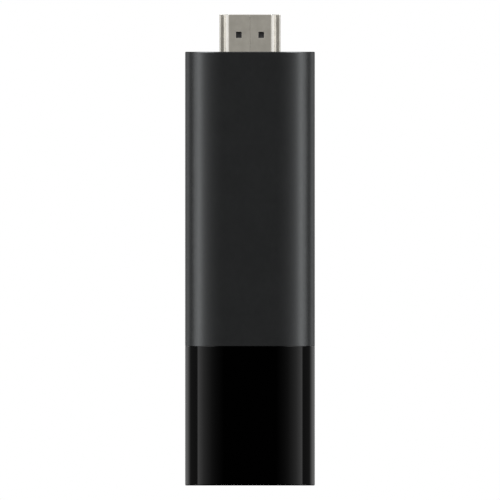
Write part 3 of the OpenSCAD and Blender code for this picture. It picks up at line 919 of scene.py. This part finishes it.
CAP_RIM = JOINT_Z - 0.01  # nearer to the shells than in the CAD, since the photo shows no gap
CAP_FLOOR = TAIL_Z + 1.5
CAP_MID = -3  # where the skin of the cap's closed end turns into a flat face
SIDE_WINDOW = 1.45  # half of the strip that the holes are cut in
cap_holes = [port_outline(PORT_GAP), circle_outline(pipe_z, PIPE_R + PIPE_GAP),
             obround(KEY_L + 2 * KEY_GAP, KEY_H + 2 * KEY_GAP, key_z)]
cap_window = Window(HOUSING, -SIDE_WINDOW, SIDE_WINDOW, cap_holes, 0.07, CAP_WALL)
cap_profile = profile([
    (0, CAP_MID, TAIL_Z, 0), (0, 0, TAIL_Z, 0.25), (0, 0, CAP_RIM, 0.07),
    (0, -CAP_WALL, CAP_RIM, 0.07), (0, -CAP_WALL, CAP_FLOOR, 0.3), (0, CAP_MID, CAP_FLOOR, 0),
], closed=False)
cap = Skin()
walled(cap, HOUSING, cap_profile, [cap_window], CORNER, 3 * CORNER)
cap.piece("gloss_cap", MATERIALS["gloss_black"], "housing", "end_cap")


# ---------------------------------------------------------------- plug

plug = plug_outline()
SHEET, FOLD = 0.3, 0.03  # the sheet's thickness, and half of the gap where it meets
HOLE_X, HOLE_HALF = 2.54, 0.65  # the latch holes' middles, and half of their width
HOLE_LOW, HOLE_HIGH = 3.1, 4.5
HOLE_STRIP = 1.2  # half of the strip that each one is cut in
front_mid, rear_mid = middle(plug, True), middle(plug, False)
plug_windows = []
for mid in (front_mid, rear_mid):
    for s in (mid - HOLE_X, mid + HOLE_X):
        hole = box_outline(s - HOLE_HALF, s + HOLE_HALF, HOLE_LOW, HOLE_HIGH, 0.1)
        plug_windows.append(Window(plug, s - HOLE_STRIP, s + HOLE_STRIP, [hole], 0.05, SHEET))
sheath_profile = profile([
    (0, 0, PLUG_ROOT, 0.05), (0, 0, TIP_Z, 0.13), (0, -SHEET, TIP_Z, 0.08),
    (0, -SHEET, PLUG_ROOT, 0.05)])
sheath = Skin()
walled(sheath, plug, sheath_profile, plug_windows, CORNER - 1, 3 * CORNER - 1,
       (front_mid - FOLD, front_mid + FOLD), 0.03)
sheath.piece("plug_sheath", MATERIALS["plug_plating"], "housing", "plug_shell")

# Insulating core: a block that fills the sheath, with a slot for the socket's tongue
TONGUE_HALF_W, TONGUE_HALF_H, TONGUE_FLOOR = 5.75, 0.53, 0.9
core_side_y = 0.6  # on the core's straight side, clear of the ledge
core_outer = plug_outline(-SHEET - 0.01)
core_slot = box_outline(-TONGUE_HALF_W, TONGUE_HALF_W, -TONGUE_HALF_H, TONGUE_HALF_H, 0.22)
joined_solid(
    "plug_core", core_outer, core_slot,
    [(0, -0.2, core_lo.z, 0), (0, 0, core_lo.z, 0.05), (0, 0, core_hi.z, 0.1),
     (1, 0, core_hi.z, 0.12), (1, 0, TONGUE_FLOOR, 0.1), (1, -0.18, TONGUE_FLOOR, 0)],
    crossing(core_outer, core_side_y, True), crossing(core_slot, 0.0, True),
    "housing", "plug_insulator")


# ---------------------------------------------------------------- side controls

PORT_SHEET = 0.25
port_base = port_outline(0.0)
port_back = port_lo.x + PORT_SHEET
joined_solid(
    "port_sheath", port_base, port_base,
    [(0, -0.2, port_lo.x, 0), (0, PORT_SHEET, port_lo.x, 0.15), (0, PORT_SHEET, port_hi.x, 0.09),
     (0, 0, port_hi.x, 0.09), (0, 0, port_back, 0.15), (0, -0.2, port_back, 0)],
    0, 0, "housing", "power_port_shell", along_x=True)

cap_inner = HALF_W - CAP_WALL
STEM_R, STEM_L, KEY_FLANGE = 0.7, 0.33, 0.4
flange_back, flange_front = key_lo.x + STEM_L, cap_inner - KEY_GAP
joined_solid(
    "reset_key_cap", obround(KEY_L, KEY_H, key_z), circle_outline(key_z, STEM_R),
    [(1, -0.3, key_lo.x, 0), (1, 0, key_lo.x, 0.08), (1, 0, flange_back, 0.05),
     (0, KEY_FLANGE, flange_back, 0.08), (0, KEY_FLANGE, flange_front, 0.08),
     (0, 0, flange_front, 0.05), (0, 0, key_hi.x, 0.14), (0, -0.5, key_hi.x, 0)],
    0, 0, "key", "reset_key", along_x=True)

PIPE_FOOT, PIPE_FLANGE = 0.5, 0.5
pipe_line = circle_outline(pipe_z, PIPE_R)
flange_back, flange_front = pipe_lo.x + PIPE_FOOT, cap_inner - 0.05
joined_solid(
    "pipe_lens", pipe_line, pipe_line,
    [(0, -0.3, pipe_lo.x, 0), (0, 0, pipe_lo.x, 0.05), (0, 0, flange_back, 0.04),
     (0, PIPE_FLANGE, flange_back, 0.05), (0, PIPE_FLANGE, flange_front, 0.05),
     (0, 0, flange_front, 0.04), (0, 0, pipe_hi.x, 0.22), (0, -0.35, pipe_hi.x, 0)],
    0, 0, "housing", "light_pipe", along_x=True)


# ---------------------------------------------------------------- floor, light and camera

FLOOR_REACH = 0.22  # in metres, as are the next three
FADE_FROM, FADE_TO = 0.06, 0.2
FLOOR_GAP = 0.0001
look = Shader("studio_floor", (0.86, 0.86, 0.86), 0.6)
away = look.node("ShaderNodeVectorMath", {0: look.coords}, operation="LENGTH").outputs["Value"]
fade = look.node("ShaderNodeMapRange", {"Value": away, "From Min": FADE_FROM, "From Max": FADE_TO},
                 interpolation_type="SMOOTHSTEP").outputs[0]
unseen = look.node("ShaderNodeBsdfTransparent").outputs[0]
mixed = look.node("ShaderNodeMixShader", {0: fade, 1: look.bsdf.outputs[0], 2: unseen}).outputs[0]
look.link(mixed, next(n for n in look.tree.nodes if n.type == "OUTPUT_MATERIAL").inputs[0])

mesh = bpy.data.meshes.new("studio_floor")
mesh.from_pydata([(x * FLOOR_REACH, y * FLOOR_REACH, 0)
                  for x, y in ((-1, -1), (1, -1), (1, 1), (-1, 1))], [], [(0, 1, 2, 3)])
mesh.materials.append(look.mat)
floor = bpy.data.objects.new("studio_floor", mesh)
floor.location = (0, 0, TAIL_Z * MM - FLOOR_GAP)
bpy.context.scene.collection.objects.link(floor)
floor.visible_diffuse = False
floor.visible_glossy = False

# World: a studio whose brightness depends on the direction. Seen by the camera itself it is white.
# Each list below is of (angle in degrees, brightness).
SIDE_STRIP = [  # at eye level, by the angle round from the front: a panel each side, then the wall
    (0, 0.0), (10, 0.045), (20, 0.1), (29, 0.18), (40, 0.4), (50, 0.69), (60, 1.28), (66, 1.77),
    (68, 0.18), (105, 0.18), (109, 0.45), (117, 0.65), (123, 0.95), (129, 0.98), (137, 0.78),
    (160, 0.4), (180, 0.15)]
SIDE_SOFT = [  # the same, above and below eye level
    (0, 0.0), (42, 0.0), (50, 0.06), (57, 0.42), (63, 1.2), (69, 1.7), (76, 1.45), (83, 0.8),
    (90, 0.28), (98, 0.06), (109, 0.03), (118, 0.12), (127, 0.25), (137, 0.36), (150, 0.38),
    (165, 0.25), (180, 0.15)]
SOFT_SHARE = [(0, 0), (2, 0), (4, 1), (90, 1)]  # by the angle off eye level: strip, then soft
SIDE_HEIGHT = [  # both of them, by the angle up from straight below
    (0, 0.15), (45, 0.4), (75, 0.9), (84, 1), (96, 1), (120, 0.9), (150, 0.4), (180, 0.15)]
KEY_ROUND = [(0, 0), (25, 0), (35, 1), (70, 1), (80, 0), (180, 0)]  # lamps high up on each side
KEY_HEIGHT = [(0, 0), (20, 0), (30, 1), (60, 1), (70, 0), (90, 0)]
KEY_LEVEL = 6.0
TOP_GLOW = [(0, 0.0), (45, 0.0), (65, 0.5), (90, 0.5)]  # by the angle above eye level


def maths(kind, *values):
    made = tree.nodes.new("ShaderNodeMath")
    made.operation = kind
    for i, value in enumerate(values):
        if isinstance(value, bpy.types.NodeSocket):
            tree.links.new(value, made.inputs[i])
        else:
            made.inputs[i].default_value = value
    return made.outputs[0]


def level_at(angle, stops):
    """Straight lines between these (angle, brightness) stops, the first of which is at 0."""
    made = tree.nodes.new("ShaderNodeFloatCurve")
    curve = made.mapping.curves[0]
    top, peak = stops[-1][0], max(level for _, level in stops)
    points = [(degrees / top, level / peak) for degrees, level in stops]
    curve.points[0].location = points[0]
    curve.points[1].location = points[-1]
    for x, y in points[1:-1]:
        curve.points.new(x, y)
    for point in curve.points:
        point.handle_type = "VECTOR"
    made.mapping.update()
    tree.links.new(maths("DIVIDE", angle, top), made.inputs["Value"])
    return maths("MULTIPLY", made.outputs[0], peak)


world = bpy.data.worlds.new("studio")
bpy.context.scene.world = world
world.use_nodes = True
tree = world.node_tree
background = next(n for n in tree.nodes if n.type == "BACKGROUND")
direction = tree.nodes.new("ShaderNodeTexCoord").outputs["Generated"]
split = tree.nodes.new("ShaderNodeSeparateXYZ")
tree.links.new(direction, split.inputs[0])
x, y, z = split.outputs
flat = maths("SQRT", maths("ADD", maths("MULTIPLY", x, x), maths("MULTIPLY", y, y)))
around = maths("DEGREES", maths("ARCTAN2", maths("ABSOLUTE", x), maths("MULTIPLY", y, -1)))
height = maths("DEGREES", maths("ARCTAN2", z, flat))
raised = maths("MAXIMUM", height, 0.0)
share = level_at(maths("ABSOLUTE", height), SOFT_SHARE)
soft = maths("MULTIPLY", level_at(around, SIDE_SOFT), share)
strip = maths("MULTIPLY", level_at(around, SIDE_STRIP), maths("SUBTRACT", 1.0, share))
side_height = level_at(maths("ADD", height, 90.0), SIDE_HEIGHT)
side = maths("MULTIPLY", maths("ADD", soft, strip), side_height)
key = maths("MULTIPLY", level_at(around, KEY_ROUND), level_at(raised, KEY_HEIGHT))
key = maths("MULTIPLY", key, KEY_LEVEL)
glow = maths("ADD", maths("ADD", side, key), level_at(raised, TOP_GLOW))
path = tree.nodes.new("ShaderNodeLightPath")
level = tree.nodes.new("ShaderNodeMix")
tree.links.new(path.outputs["Is Camera Ray"], level.inputs[0])
tree.links.new(glow, level.inputs[2])
level.inputs[3].default_value = 1.0
tree.links.new(level.outputs[0], background.inputs["Strength"])
background.inputs["Color"].default_value = (1, 1, 1, 1)

# The camera looks straight at the front, like the photo's. All in metres.
VIEW_SIZE = 0.11335
VIEW_MID_Z = -0.04495
camera = bpy.data.objects.new("camera", bpy.data.cameras.new("camera"))
camera.data.type = "ORTHO"
camera.data.ortho_scale = VIEW_SIZE
camera.data.clip_start = 0.001
camera.data.clip_end = 10
camera.location = (0, -0.5, VIEW_MID_Z)
camera.rotation_euler = (math.pi / 2, 0, 0)
bpy.context.scene.collection.objects.link(camera)
bpy.context.scene.camera = camera
bpy.context.scene.view_settings.view_transform = "Standard"
